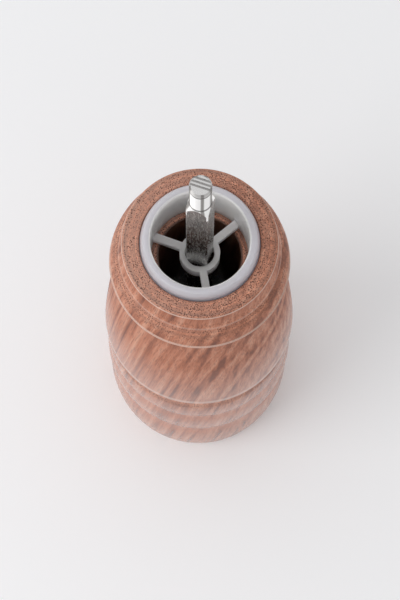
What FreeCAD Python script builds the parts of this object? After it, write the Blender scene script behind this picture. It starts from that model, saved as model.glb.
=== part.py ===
import FreeCAD, Part
import math
import os

# Pepper mill without its head: a turned wooden body, a guide collar in its mouth, a square
# drive shaft and a burr grinder in the base. Millimetres, +Z up, origin under the base centre.

# Fits shared by all pieces
SEAT_GAP = 0.05          # radial gap between fixed pieces that sit in one another
RUN_GAP = 0.08           # radial gap of a shaft that turns or slides in a guide
END_PLAY = 0.3           # room left above the housing in its pocket

# Wooden body, outside: base rings, cove, bell-shaped barrel, bead and top moulding
BODY_HEIGHT = 144.0
FOOT_R = 29.2
FOOT_ROUND = 0.8
RING_HEIGHTS = (27.0, 21.0, 12.0)
RING_GROOVE_R = (28.9, 28.9, 28.5)
RING_CROWNS = (1.0, 1.0, 0.5)
COVE_HEIGHT = 8.4
COVE_DEPTH = 1.5
BARREL_R = 29.3
BARREL_LIP = 1.6
LIP_UNDERCUT = 1.4
BARREL_BOW = 0.6
NECK_R = 22.5
NECK_DROP = 18.5
BEAD_R = 25.4
BEAD_DROP = 16.8
BEAD_LEDGE = 0.6             # width of the narrow ledge under the bead
BEAD_LEDGE_FALL = 0.5
BEAD_BOW = 1.0
QUIRK_R = 22.5
QUIRK_DROP = 8.0
QUIRK_STEP = 0.6
TOP_R = 21.3
TOP_ROUND = 0.8
TOP_HOLLOW = 0.45

# Wooden body, inside
CHAMBER_R = 11.4
MOUTH_ROUND = 0.3

# Guide collar in the mouth
COLLAR_WALL_R = 16.1
COLLAR_SKIRT_STEP = 0.25     # the pressed-in skirt is this much thicker than the bare wall
COLLAR_BORE_R = 13.45
COLLAR_DEPTH = 13.0
COLLAR_RISE = 3.3
COLLAR_SINK = 0.4            # the thicker skirt tapers off over this depth, up to the wood's top
COLLAR_LEAD = 1.05
HUB_R = 5.6
HUB_DROP = 9.2
HUB_HEIGHT = 4.8
SPOKE_COUNT = 3
SPOKE_WIDTH = 2.05
SPOKE_HEIGHT = 2.6
COLLAR_TURN = 40.5

# Drive shaft
SHAFT_SQUARE = 6.0
SHAFT_ACROSS = 7.94
SHAFT_TURN = -18.2
SHOULDER_RISE = 35.4
SHOULDER_TAPER = 2.6
SPIGOT_R = 2.85
SPIGOT_LENGTH = 11.4
SPIGOT_CHAMFER = 0.4
SAW_MARKS = 3
SAW_PITCH = 1.0
SAW_SHIFT = 0.6              # the saw marks lie off the middle by this much
SAW_WIDTH = 0.5
SAW_DEPTH = 0.2
STUD_R = 2.5
STUD_TAIL = 1.0
SQUARE_CLEAR = 0.3           # the square stays this far above the washer at its highest

# Grinder stack, from the table upwards
TABLE_GAP = 1.2
STUD_CLIP_THICK = 0.8
STUD_CLIP_R = 4.5
CLIP_BITE = 0.5
KNOB_HEIGHT = 7.2
KNOB_R = 8.5
KNOB_SCALLOPS = 12
SCALLOP_R = 1.4
KNOB_CHAMFER = 0.8
INSERT_R = 4.0
WASHER_THICK = 0.8
ROTOR_WASHER_R = 7.0
CARRIER_FLANGE = 2.0
CARRIER_FLANGE_R = 9.0
CARRIER_R = 5.4
CARRIER_PILOT = 1.5
KEY_WIDTH = 2.0
KEY_HEIGHT = 0.8
GRIND_TRAVEL = 1.2

# Burrs: a fine zone below, where the two cones run parallel, and a cracking zone above
FINE_HEIGHT = 5.0
FINE_FLARE = 2.0
THROAT_R = 11.2
BURR_GAP = 0.85
CRACK_HEIGHT = 11.5
ROTOR_TOP_R = 8.0
STATOR_MOUTH_R = 13.2
STATOR_DROP = 0.5            # the stator ends this far below the rotor's top
STATOR_R = 15.6
FINE_TEETH = 30
FINE_DEPTH = 0.8
CRACK_TEETH = 10
CRACK_DEPTH = 1.2
ROTOR_TWIST = 30.0
STATOR_KEYS = 3
STATOR_KEY_HEIGHT = 0.9
STATOR_KEY_LENGTH = 5.0

# Spring and shaft seats
SPRING_LENGTH = 10.7
SPRING_WIRE = 1.0
SPRING_R = 6.3
SPRING_TURNS = 5
SPRING_SEAT_R = 7.2
BUSH_WALL = 0.95
BUSH_FLANGE = 0.8
BUSH_FLANGE_R = 5.8
SHAFT_CLIP_THICK = 0.8
SHAFT_CLIP_R = 5.8

# Grinder housing
HOUSING_WALL = 2.1
THROAT_BORE_R = 14.0
HOUSING_MOUTH_R = 13.5
BOSS_WALL = 0.85
BOSS_HEIGHT = 5.0
BRIDGE_SPOKES = 3
BRIDGE_WIDTH = 2.6
BRIDGE_HEIGHT = 4.0
FLANGE_SEAT = 7.0
FLANGE_THICK = 2.0
FLANGE_WIDTH = 4.6
CIRCLIP_THICK = 1.2
CIRCLIP_WIDTH = 2.1
CIRCLIP_BITE = 0.7
CIRCLIP_OPENING = 40.0
CLIP_OPENING = 70.0

# Housing screws
SCREW_COUNT = 3
SCREW_R = 1.2
SCREW_LENGTH = 12.0
SCREW_HEAD_R = 2.1
SCREW_HEAD = 1.5
SCREW_SLOT = 0.6
SCREW_TURN = 90.0

# Heights that follow from the stack
CLIP_Z = TABLE_GAP + STUD_TAIL
KNOB_Z = CLIP_Z + STUD_CLIP_THICK
ROTOR_WASHER_Z = KNOB_Z + KNOB_HEIGHT
CARRIER_Z = ROTOR_WASHER_Z + WASHER_THICK
BURR_Z = CARRIER_Z + CARRIER_FLANGE
FINE_Z = BURR_Z + FINE_HEIGHT
ROTOR_TOP_Z = FINE_Z + CRACK_HEIGHT
STATOR_TOP_Z = ROTOR_TOP_Z - STATOR_DROP
SPRING_SEAT_Z = ROTOR_TOP_Z + SPRING_LENGTH
BOSS_Z = SPRING_SEAT_Z + WASHER_THICK
BRIDGE_TOP_Z = BOSS_Z + BOSS_HEIGHT
CLIP_WASHER_Z = BRIDGE_TOP_Z + BUSH_FLANGE
SHAFT_CLIP_Z = CLIP_WASHER_Z + WASHER_THICK
LEDGE_Z = BODY_HEIGHT - COLLAR_DEPTH
HUB_TOP_Z = BODY_HEIGHT - HUB_DROP
HUB_Z = HUB_TOP_Z - HUB_HEIGHT
SHOULDER_Z = BODY_HEIGHT + SHOULDER_RISE
TIP_Z = SHOULDER_Z + SPIGOT_LENGTH
SQUARE_Z = CARRIER_Z + GRIND_TRAVEL + SQUARE_CLEAR

# Radii that follow from the fits
SHAFT_R = SHAFT_ACROSS / 2
GUIDE_R = SHAFT_R + RUN_GAP
SKIRT_R = COLLAR_WALL_R + COLLAR_SKIRT_STEP
BUSH_R = GUIDE_R + BUSH_WALL
BOSS_R = BUSH_R + SEAT_GAP + BOSS_WALL
HOUSING_BORE_R = STATOR_R + SEAT_GAP
HOUSING_R = HOUSING_BORE_R + HOUSING_WALL
FLANGE_R = HOUSING_R + FLANGE_WIDTH
SCREW_CIRCLE_R = HOUSING_R + FLANGE_WIDTH / 2
CIRCLIP_R = HOUSING_BORE_R + CIRCLIP_BITE
STUD_GROOVE_R = STUD_R - CLIP_BITE
SHAFT_GROOVE_R = SHAFT_R - CLIP_BITE

AXIS = FreeCAD.Vector(0, 0, 1)
ORIGIN = FreeCAD.Vector(0, 0, 0)


def point(radius, z):
    return FreeCAD.Vector(radius, 0, z)


def lines(*places):
    """Straight edges through (radius, z) places, in the XZ plane."""
    spots = [point(*place) for place in places]
    return [Part.makeLine(a, b) for a, b in zip(spots, spots[1:])]


def bow(start, end, rise):
    """An arc from start to end that bulges away from the axis by rise, or towards it if negative."""
    chord = point(*end) - point(*start)
    outward = FreeCAD.Vector(abs(chord.z), 0, -chord.x * math.copysign(1, chord.z)).normalize()
    middle = point(*start) + chord * 0.5 + outward * rise
    return [Part.Arc(point(*start), middle, point(*end)).toShape()]


def turned(edges):
    """The solid that a closed outline of edges sweeps about the axis."""
    return Part.Face(Part.Wire(edges)).revolve(ORIGIN, AXIS, 360)


def disc(radius, low, high):
    return Part.makeCylinder(radius, high - low, point(0, low))


def ring(inner, outer, low, high):
    return disc(outer, low, high).cut(disc(inner, low, high))


def bar(length, width, low, high, start=0.0):
    """A bar that runs out from the axis along +X, centred on it in Y."""
    return Part.makeBox(length, width, high - low, FreeCAD.Vector(start, -width / 2, low))


def square(side, low, high):
    return bar(side, side, low, high, -side / 2)


def spun(shape, angle):
    copy = shape.copy()
    copy.rotate(ORIGIN, AXIS, angle)
    return copy


def around(shape, count, first=0.0):
    """count copies of a shape, evenly spaced about the axis."""
    return [spun(shape, first + 360.0 * i / count) for i in range(count)]


def open_ring(inner, outer, low, high, opening):
    """A spring clip: a ring with a wedge of it missing on the +X side."""
    reach = 2 * outer
    half = math.radians(opening / 2)
    corners = [point(0, low), FreeCAD.Vector(reach, -reach * math.tan(half), low),
               FreeCAD.Vector(reach, reach * math.tan(half), low), point(0, low)]
    wedge = Part.Face(Part.makePolygon(corners)).extrude(AXIS * (high - low))
    return ring(inner, outer, low, high).cut(wedge)


def groove(low_r, low, high_r, high, depth, width, twist=0.0):
    """A V-shaped cutter along a cone: depth > 0 cuts outwards from a bore, < 0 inwards."""
    def section(radius, z, angle):
        mouth = radius - math.copysign(width / 2, depth)
        corners = [FreeCAD.Vector(mouth, -width, z), FreeCAD.Vector(radius + depth, 0, z),
                   FreeCAD.Vector(mouth, width, z), FreeCAD.Vector(mouth, -width, z)]
        return spun(Part.makePolygon(corners), angle)
    return Part.makeLoft([section(low_r, low, 0.0), section(high_r, high, twist)], True, True)


def wood_outline():
    """The turned outside, from the foot up to the mouth."""
    edges = lines((FOOT_R - FOOT_ROUND, 0), (FOOT_R, FOOT_ROUND))
    low = (FOOT_R, FOOT_ROUND)
    level = 0.0
    for height, groove_r, crown in zip(RING_HEIGHTS, RING_GROOVE_R, RING_CROWNS):
        level += height
        edges += bow(low, (groove_r, level), crown)
        low = (groove_r, level)
    lip_z = level + COVE_HEIGHT
    under = (BARREL_R - LIP_UNDERCUT, lip_z)
    lip = (BARREL_R, lip_z + BARREL_LIP)
    neck = (NECK_R, BODY_HEIGHT - NECK_DROP)
    ledge = (BEAD_R, BODY_HEIGHT - BEAD_DROP)
    bead = (BEAD_R - BEAD_LEDGE, BODY_HEIGHT - BEAD_DROP + BEAD_LEDGE_FALL)
    quirk = (QUIRK_R - QUIRK_STEP, BODY_HEIGHT - QUIRK_DROP - QUIRK_STEP)
    step = (QUIRK_R, BODY_HEIGHT - QUIRK_DROP)
    brow = (TOP_R, BODY_HEIGHT - TOP_ROUND)
    edges += bow(low, under, -COVE_DEPTH)
    edges += lines(under, lip)
    edges += bow(lip, neck, BARREL_BOW)
    edges += lines(neck, ledge, bead)
    edges += bow(bead, quirk, BEAD_BOW)
    edges += lines(quirk, step)
    edges += bow(step, brow, -TOP_HOLLOW)
    edges += bow(brow, (TOP_R - TOP_ROUND, BODY_HEIGHT), TOP_ROUND * (math.sqrt(0.5) - 0.5))
    return edges


def make_wood_body():
    mouth_r = SKIRT_R + SEAT_GAP
    pocket_r = HOUSING_R + SEAT_GAP
    recess_r = FLANGE_R + SEAT_GAP
    pocket_z = BRIDGE_TOP_Z + END_PLAY
    inside = lines((TOP_R - TOP_ROUND, BODY_HEIGHT), (mouth_r + MOUTH_ROUND, BODY_HEIGHT),
                   (mouth_r, BODY_HEIGHT - MOUTH_ROUND), (mouth_r, LEDGE_Z), (CHAMBER_R, LEDGE_Z),
                   (CHAMBER_R, pocket_z), (pocket_r, pocket_z), (pocket_r, FLANGE_SEAT),
                   (recess_r, FLANGE_SEAT), (recess_r, 0), (FOOT_R - FOOT_ROUND, 0))
    body = turned(wood_outline() + inside)
    pilot = disc(SCREW_R + SEAT_GAP, FLANGE_SEAT, FLANGE_SEAT + SCREW_LENGTH + SEAT_GAP)
    pilot.translate(point(SCREW_CIRCLE_R, 0))
    return body.cut(around(pilot, SCREW_COUNT, SCREW_TURN))


def make_top_collar():
    wall_top = BODY_HEIGHT + COLLAR_RISE - COLLAR_LEAD
    rim_z = BODY_HEIGHT + COLLAR_RISE
    taper_z = BODY_HEIGHT - COLLAR_SINK
    rim_r = COLLAR_WALL_R - COLLAR_LEAD
    edges = lines((COLLAR_BORE_R, LEDGE_Z), (SKIRT_R, LEDGE_Z), (SKIRT_R, taper_z),
                  (COLLAR_WALL_R, BODY_HEIGHT), (COLLAR_WALL_R, wall_top))
    edges += bow((COLLAR_WALL_R, wall_top), (rim_r, rim_z), COLLAR_LEAD * (1 - math.sqrt(0.5)))
    edges += lines((rim_r, rim_z), (COLLAR_BORE_R + MOUTH_ROUND, rim_z),
                   (COLLAR_BORE_R, rim_z - MOUTH_ROUND), (COLLAR_BORE_R, LEDGE_Z))
    hub = disc(HUB_R, HUB_Z, HUB_TOP_Z)
    reach = (COLLAR_BORE_R + SKIRT_R) / 2
    spoke = bar(reach, SPOKE_WIDTH, HUB_TOP_Z - SPOKE_HEIGHT, HUB_TOP_Z)
    whole = turned(edges).fuse([hub] + around(spoke, SPOKE_COUNT, COLLAR_TURN))
    return whole.cut(disc(GUIDE_R, HUB_Z, HUB_TOP_Z)).removeSplitter()


def make_drive_shaft():
    stud = lines((0, TABLE_GAP), (STUD_R, TABLE_GAP), (STUD_R, CLIP_Z), (STUD_GROOVE_R, CLIP_Z),
                 (STUD_GROOVE_R, KNOB_Z), (STUD_R, KNOB_Z), (STUD_R, SQUARE_Z))
    clip_top = SHAFT_CLIP_Z + SHAFT_CLIP_THICK
    shank = lines((STUD_R, SQUARE_Z), (SHAFT_R, SQUARE_Z), (SHAFT_R, SHAFT_CLIP_Z),
                  (SHAFT_GROOVE_R, SHAFT_CLIP_Z), (SHAFT_GROOVE_R, clip_top), (SHAFT_R, clip_top),
                  (SHAFT_R, SHOULDER_Z - SHOULDER_TAPER), (SPIGOT_R, SHOULDER_Z))
    spigot = lines((SPIGOT_R, SHOULDER_Z), (SPIGOT_R, TIP_Z - SPIGOT_CHAMFER),
                   (SPIGOT_R - SPIGOT_CHAMFER, TIP_Z), (0, TIP_Z), (0, TABLE_GAP))
    shaft = turned(stud + shank + spigot).common(square(SHAFT_SQUARE, TABLE_GAP, TIP_Z))
    first = SAW_SHIFT - SAW_PITCH * (SAW_MARKS - 1) / 2
    for i in range(SAW_MARKS):
        mark = bar(2 * SHAFT_SQUARE, SAW_WIDTH, TIP_Z - SAW_DEPTH, TIP_Z, -SHAFT_SQUARE)
        mark.translate(FreeCAD.Vector(0, first + i * SAW_PITCH, 0))
        shaft = shaft.cut(mark)
    return spun(shaft, SHAFT_TURN)


def make_grinder_housing():
    groove_r = CIRCLIP_R + SEAT_GAP
    flange_z = FLANGE_SEAT - FLANGE_THICK
    clip_z = BURR_Z - CIRCLIP_THICK
    edges = lines((HOUSING_BORE_R, flange_z), (FLANGE_R, flange_z), (FLANGE_R, FLANGE_SEAT),
                  (HOUSING_R, FLANGE_SEAT), (HOUSING_R, BRIDGE_TOP_Z), (HOUSING_MOUTH_R, BRIDGE_TOP_Z),
                  (HOUSING_MOUTH_R, BRIDGE_TOP_Z - BRIDGE_HEIGHT),
                  (THROAT_BORE_R, BRIDGE_TOP_Z - BRIDGE_HEIGHT), (THROAT_BORE_R, STATOR_TOP_Z),
                  (HOUSING_BORE_R, STATOR_TOP_Z), (HOUSING_BORE_R, BURR_Z), (groove_r, BURR_Z),
                  (groove_r, clip_z), (HOUSING_BORE_R, clip_z), (HOUSING_BORE_R, flange_z))
    boss = disc(BOSS_R, BOSS_Z, BRIDGE_TOP_Z)
    reach = (HOUSING_MOUTH_R + HOUSING_R) / 2
    spoke = bar(reach, BRIDGE_WIDTH, BRIDGE_TOP_Z - BRIDGE_HEIGHT, BRIDGE_TOP_Z)
    inset = HOUSING_BORE_R - STATOR_KEY_HEIGHT
    key = bar(STATOR_KEY_HEIGHT + HOUSING_WALL / 2, KEY_WIDTH, STATOR_TOP_Z - STATOR_KEY_LENGTH,
              STATOR_TOP_Z, inset)
    pieces = [boss] + around(spoke, BRIDGE_SPOKES, COLLAR_TURN) + around(key, STATOR_KEYS, COLLAR_TURN)
    whole = turned(edges).fuse(pieces).cut(disc(BUSH_R + SEAT_GAP, BOSS_Z, BRIDGE_TOP_Z))
    hole = disc(SCREW_R + SEAT_GAP, flange_z, FLANGE_SEAT)
    hole.translate(point(SCREW_CIRCLE_R, 0))
    return whole.cut(around(hole, SCREW_COUNT, SCREW_TURN)).removeSplitter()


def make_housing_screws():
    """Pan-head screws, each driven up through the flange into the wood."""
    under = FLANGE_SEAT - FLANGE_THICK
    low = under - SCREW_HEAD
    top = FLANGE_SEAT + SCREW_LENGTH
    edges = lines((0, low), (SCREW_HEAD_R - SCREW_SLOT, low))
    edges += bow((SCREW_HEAD_R - SCREW_SLOT, low), (SCREW_HEAD_R, under - SCREW_HEAD / 2), SCREW_SLOT / 4)
    edges += lines((SCREW_HEAD_R, under - SCREW_HEAD / 2), (SCREW_HEAD_R, under), (SCREW_R, under),
                   (SCREW_R, top - 2 * SCREW_R), (0, top), (0, low))
    slot = bar(2 * SCREW_HEAD_R, SCREW_SLOT, low, low + SCREW_SLOT, -SCREW_HEAD_R)
    screw = turned(edges).cut([slot, spun(slot, 90)])
    screw.translate(point(SCREW_CIRCLE_R, 0))
    return Part.makeCompound(around(screw, SCREW_COUNT, SCREW_TURN))


def make_bridge_bush():
    edges = lines((GUIDE_R, BOSS_Z), (BUSH_R, BOSS_Z), (BUSH_R, BRIDGE_TOP_Z),
                  (BUSH_FLANGE_R, BRIDGE_TOP_Z), (BUSH_FLANGE_R, CLIP_WASHER_Z),
                  (GUIDE_R, CLIP_WASHER_Z), (GUIDE_R, BOSS_Z))
    return turned(edges)


def make_stator_burr():
    foot_r = THROAT_R + FINE_FLARE
    edges = lines((foot_r, BURR_Z), (STATOR_R, BURR_Z), (STATOR_R, STATOR_TOP_Z),
                  (STATOR_MOUTH_R, STATOR_TOP_Z), (THROAT_R, FINE_Z), (foot_r, BURR_Z))
    fine = groove(foot_r, BURR_Z, THROAT_R, FINE_Z, FINE_DEPTH, FINE_DEPTH)
    crack = groove(THROAT_R, FINE_Z, STATOR_MOUTH_R, STATOR_TOP_Z, CRACK_DEPTH, CRACK_DEPTH)
    slot = bar(2 * STATOR_KEY_HEIGHT, KEY_WIDTH + 2 * SEAT_GAP,
               STATOR_TOP_Z - STATOR_KEY_LENGTH - SEAT_GAP, STATOR_TOP_Z,
               HOUSING_BORE_R - STATOR_KEY_HEIGHT - SEAT_GAP)
    turn = COLLAR_TURN + 180.0 / CRACK_TEETH
    cutters = around(fine, FINE_TEETH) + around(crack, CRACK_TEETH, turn)
    return turned(edges).cut(cutters + around(slot, STATOR_KEYS, COLLAR_TURN))


def make_rotor_burr():
    foot_r = THROAT_R + FINE_FLARE - BURR_GAP
    waist_r = THROAT_R - BURR_GAP
    bore_r = CARRIER_R + SEAT_GAP
    edges = lines((bore_r, BURR_Z), (foot_r, BURR_Z), (waist_r, FINE_Z), (ROTOR_TOP_R, ROTOR_TOP_Z),
                  (bore_r, ROTOR_TOP_Z), (bore_r, BURR_Z))
    fine = groove(foot_r, BURR_Z, waist_r, FINE_Z, -FINE_DEPTH, FINE_DEPTH)
    crack = groove(waist_r, FINE_Z, ROTOR_TOP_R, ROTOR_TOP_Z, -CRACK_DEPTH, CRACK_DEPTH, ROTOR_TWIST)
    slot = bar(CARRIER_R + KEY_HEIGHT + SEAT_GAP, KEY_WIDTH + 2 * SEAT_GAP, BURR_Z, ROTOR_TOP_Z)
    cutters = around(fine, FINE_TEETH) + around(crack, CRACK_TEETH)
    return spun(turned(edges).cut(cutters + [slot]), SHAFT_TURN)


def make_rotor_carrier():
    top = ROTOR_TOP_Z + CARRIER_PILOT
    core = disc(CARRIER_FLANGE_R, CARRIER_Z, BURR_Z).fuse([
        disc(CARRIER_R, BURR_Z, top),
        bar(CARRIER_R + KEY_HEIGHT, KEY_WIDTH, BURR_Z, ROTOR_TOP_Z)])
    hole = square(SHAFT_SQUARE + 2 * RUN_GAP, CARRIER_Z, top)
    return spun(core.cut(hole).removeSplitter(), SHAFT_TURN)


def make_burr_spring():
    """A closed helix of round wire between the rotor's top and the spring seat."""
    low = ROTOR_TOP_Z + SPRING_WIRE / 2
    rise = SPRING_LENGTH - SPRING_WIRE
    path = Part.Wire(Part.makeHelix(rise / SPRING_TURNS, rise, SPRING_R).Edges)
    path.translate(point(0, low))
    start = point(SPRING_R, low)
    along = FreeCAD.Vector(0, 2 * math.pi * SPRING_R, rise / SPRING_TURNS)
    section = Part.Wire(Part.makeCircle(SPRING_WIRE / 2, start, along))
    slab = disc(2 * SPRING_R, ROTOR_TOP_Z, SPRING_SEAT_Z)
    return path.makePipeShell([section], True, True).common(slab)


def make_grind_knob():
    edges = lines((INSERT_R + SEAT_GAP, KNOB_Z), (KNOB_R - KNOB_CHAMFER, KNOB_Z),
                  (KNOB_R, KNOB_Z + KNOB_CHAMFER), (KNOB_R, ROTOR_WASHER_Z - KNOB_CHAMFER),
                  (KNOB_R - KNOB_CHAMFER, ROTOR_WASHER_Z), (INSERT_R + SEAT_GAP, ROTOR_WASHER_Z),
                  (INSERT_R + SEAT_GAP, KNOB_Z))
    scallop = disc(SCALLOP_R, KNOB_Z, ROTOR_WASHER_Z)
    scallop.translate(point(KNOB_R + SCALLOP_R / 2, 0))
    return turned(edges).cut(around(scallop, KNOB_SCALLOPS))


parts = {
    "wood_body": make_wood_body(),
    "top_collar": make_top_collar(),
    "drive_shaft": make_drive_shaft(),
    "grinder_housing": make_grinder_housing(),
    "housing_screws": make_housing_screws(),
    "bridge_bush": make_bridge_bush(),
    "stator_burr": make_stator_burr(),
    "stator_circlip": open_ring(CIRCLIP_R - CIRCLIP_WIDTH, CIRCLIP_R, BURR_Z - CIRCLIP_THICK, BURR_Z,
                                CIRCLIP_OPENING),
    "clip_washer": ring(GUIDE_R, BUSH_FLANGE_R, CLIP_WASHER_Z, SHAFT_CLIP_Z),
    "shaft_clip": open_ring(SHAFT_GROOVE_R + SEAT_GAP, SHAFT_CLIP_R, SHAFT_CLIP_Z,
                            SHAFT_CLIP_Z + SHAFT_CLIP_THICK, CLIP_OPENING),
    "spring_seat": ring(GUIDE_R, SPRING_SEAT_R, SPRING_SEAT_Z, BOSS_Z),
    "burr_spring": make_burr_spring(),
    "rotor_carrier": make_rotor_carrier(),
    "rotor_burr": make_rotor_burr(),
    "rotor_washer": ring(STUD_R + RUN_GAP, ROTOR_WASHER_R, ROTOR_WASHER_Z, CARRIER_Z),
    "grind_knob": make_grind_knob(),
    "knob_insert": ring(STUD_R + RUN_GAP, INSERT_R, KNOB_Z, ROTOR_WASHER_Z),
    "stud_clip": open_ring(STUD_GROOVE_R + SEAT_GAP, STUD_CLIP_R, CLIP_Z, KNOB_Z, CLIP_OPENING),
}

os.makedirs("parts", exist_ok=True)
for name, shape in parts.items():
    shape.exportStep("parts/" + name + ".step")
    print(name, len(shape.Solids), shape.isValid(), round(shape.Volume, 1))
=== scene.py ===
import math
import bmesh
import bpy
from mathutils import Matrix, Vector


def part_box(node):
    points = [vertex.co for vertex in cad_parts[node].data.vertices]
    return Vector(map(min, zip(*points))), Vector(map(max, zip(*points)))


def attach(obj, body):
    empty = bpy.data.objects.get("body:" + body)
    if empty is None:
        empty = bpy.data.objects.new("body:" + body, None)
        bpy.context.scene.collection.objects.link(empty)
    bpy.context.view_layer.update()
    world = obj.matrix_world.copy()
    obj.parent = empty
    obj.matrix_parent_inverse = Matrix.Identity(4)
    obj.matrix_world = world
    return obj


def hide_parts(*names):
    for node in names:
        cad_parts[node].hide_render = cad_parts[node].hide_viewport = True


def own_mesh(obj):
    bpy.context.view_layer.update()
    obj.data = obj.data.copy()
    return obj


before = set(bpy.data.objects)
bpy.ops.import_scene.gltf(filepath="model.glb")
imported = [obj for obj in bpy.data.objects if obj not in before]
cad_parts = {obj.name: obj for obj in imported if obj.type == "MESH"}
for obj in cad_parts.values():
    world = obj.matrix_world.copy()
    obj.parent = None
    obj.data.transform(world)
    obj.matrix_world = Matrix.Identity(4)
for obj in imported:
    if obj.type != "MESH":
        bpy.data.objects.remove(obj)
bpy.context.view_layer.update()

# Turned wooden body
# One billet of open-pored reddish hardwood, turned on a lathe to base rings, a cove, a barrel and
# a bead, bored through for the peppercorns, sanded and finished with satin lacquer.
# Sizes are in millimetres, which MM turns to metres. Points within MERGE metres are joined.
MM = 0.001
MERGE = 1e-7
SHARP_TURN = math.radians(40)
WOOD_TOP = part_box("wood_body")[1].z / MM
WOOD_EASE = 0.32
FOOT_R = 28.4
FOOT_CHAMFER = 0.8
# Each base ring ends in a groove at this radius and level, and bows out by its crown.
BASE_RINGS = ((28.9, 27.0, 1.0), (28.9, 48.0, 1.0), (28.5, 60.0, 0.5))
# The other turned corners are a radius and a level.
COVE_TOP = (27.9, 68.4)
COVE_DEPTH = 1.5
BARREL_FOOT = (29.3, 70.0)
BARREL_NECK = (22.5, WOOD_TOP - 18.5)
BARREL_SWELL = 0.6
BEAD_EDGE = (25.4, WOOD_TOP - 16.8)
BEAD_FOOT = (24.8, WOOD_TOP - 16.3)
BEAD_NECK = (21.9, WOOD_TOP - 8.6)
BEAD_SWELL = 1.0
HOLLOW_FOOT = (22.5, WOOD_TOP - 8.0)
HOLLOW_TOP = (21.3, WOOD_TOP - 0.8)
HOLLOW_DEPTH = 0.45
BRIM = (20.5, WOOD_TOP)
BRIM_SWELL = 0.17
MOUTH_R = 16.4
MOUTH_CHAMFER = 0.3
MOUTH_FLOOR = 131.0
BORE_R = 11.4
POCKET_R = 17.8
POCKET_TOP = 46.3
FLANGE_RECESS_R = 22.4
FLANGE_SEAT = 7.0


def bow(start, end, rise, steps=12):
    """Places on an arc from start to end, rise millimetres out from the straight line between them."""
    (r0, z0), (r1, z1) = start, end
    half = math.hypot(r1 - r0, z1 - z0) / 2
    radius = (half * half + rise * rise) / (2 * abs(rise))
    spread = math.asin(half / radius)
    side = math.copysign(1, rise)
    along = ((r1 - r0) / (2 * half), (z1 - z0) / (2 * half))
    out = (along[1] * side, -along[0] * side)
    places = []
    for i in range(steps + 1):
        turn = spread * (2 * i / steps - 1)
        run = radius * math.sin(turn) + half
        lift = radius * (math.cos(turn) - math.cos(spread))
        places.append((r0 + along[0] * run + out[0] * lift, z0 + along[1] * run + out[1] * lift))
    return places


def lathe(outline, steps=144):
    """A closed mesh spun about the mill's axis from an outline of (radius, height) in millimetres."""
    shape = bmesh.new()
    corners = [shape.verts.new((radius * MM, 0, height * MM)) for radius, height in outline]
    pairs = list(zip(corners, corners[1:]))
    if outline[0][0] or outline[-1][0]:
        pairs.append((corners[-1], corners[0]))
    rim = [shape.edges.new(pair) for pair in pairs]
    bmesh.ops.spin(shape, geom=corners + rim, axis=(0, 0, 1), cent=(0, 0, 0), angle=2 * math.pi,
                   steps=steps, use_merge=True)
    bmesh.ops.remove_doubles(shape, verts=shape.verts, dist=MERGE)
    bmesh.ops.recalc_face_normals(shape, faces=shape.faces)
    return shape


def ease(shape, width, turn=30, segments=3):
    """Rounds every edge that turns by more than so many degrees."""
    sharp = [edge for edge in shape.edges if edge.calc_face_angle(0) > math.radians(turn)]
    bmesh.ops.bevel(shape, geom=sharp, offset=width * MM, segments=segments, profile=0.5,
                    affect="EDGES", clamp_overlap=True, material=-1)


def finished(name, shape, material):
    """The object of a finished mesh, shaded smooth but for its sharp edges."""
    mesh = bpy.data.meshes.new(name)
    shape.to_mesh(mesh)
    shape.free()
    mesh.polygons.foreach_set("use_smooth", [True] * len(mesh.polygons))
    mesh.set_sharp_from_angle(angle=SHARP_TURN)
    mesh.materials.append(material)
    made = bpy.data.objects.new(name, mesh)
    bpy.context.scene.collection.objects.link(made)
    made.modifiers.new("even shading", "WEIGHTED_NORMAL").keep_sharp = True
    return made


def linear(colour):
    """An sRGB hex colour as linear red, green, blue and alpha."""
    parts = [int(colour[i:i + 2], 16) / 255 for i in (1, 3, 5)]
    return [p / 12.92 if p <= 0.04045 else ((p + 0.055) / 1.055) ** 2.4 for p in parts] + [1.0]


def per_mm(size):
    """A pattern's scale each way, from its size in millimetres."""
    return [1 / length for length in size]


def add(tree, kind, links=(), values=(), **settings):
    """Adds a node with its settings, its input values and the sockets joined to its inputs."""
    node = tree.nodes.new("ShaderNode" + kind)
    for name, value in settings.items():
        setattr(node, name, value)
    for name, value in dict(values).items():
        node.inputs[name].default_value = value
    for name, socket in dict(links).items():
        tree.links.new(socket, node.inputs[name])
    return node


def begin(name, values):
    """A new material with its shader's own values, and its places in millimetres."""
    material = bpy.data.materials.new(name)
    material.use_nodes = True
    tree = material.node_tree
    shader = tree.nodes["Principled BSDF"]
    for socket, value in values.items():
        shader.inputs[socket].default_value = value
    spot = add(tree, "TexCoord").outputs["Object"]
    spot = add(tree, "Mapping", {"Vector": spot}, {"Scale": [1 / MM] * 3}).outputs[0]
    return material, tree, shader, spot


# The cut pores show as dark specks on end grain and short dashes on the sides, and the turned edges are
# painted pale, a painted highlight and reflection over a little real wear. The end grain keeps the tool's
# rings and its figure is plainer on the left; it is painted paler, most on the left, a painted sheen of the
# light from the left over a little real sanding.
# The lacquer has run down, so it shines most on the base and the lower barrel. Pores, fibres and the
# tool's rings are drawn coarser than real ones, so that they show.
WOOD_TONES = ((0.0, "#783D24"), (0.35, "#A56142"), (0.62, "#B77456"), (1.0, "#C68D72"))
PORE_BROWN = "#4E2A1E"
SANDING_AND_SHEEN_CREAM = "#D9C5BA"
WEAR_AND_HIGHLIGHT_CREAM = "#E2C9BC"
GROOVE_SHADE_ORANGE = "#C0683A"
BORE_SHADOW_BLACK = "#1D1913"
GRAIN_TILT = math.radians(9)
HEART = (70.0, -20.0, 0.0)
RING_WIDTH = 2.4
RING_SHARE = 0.8
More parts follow.
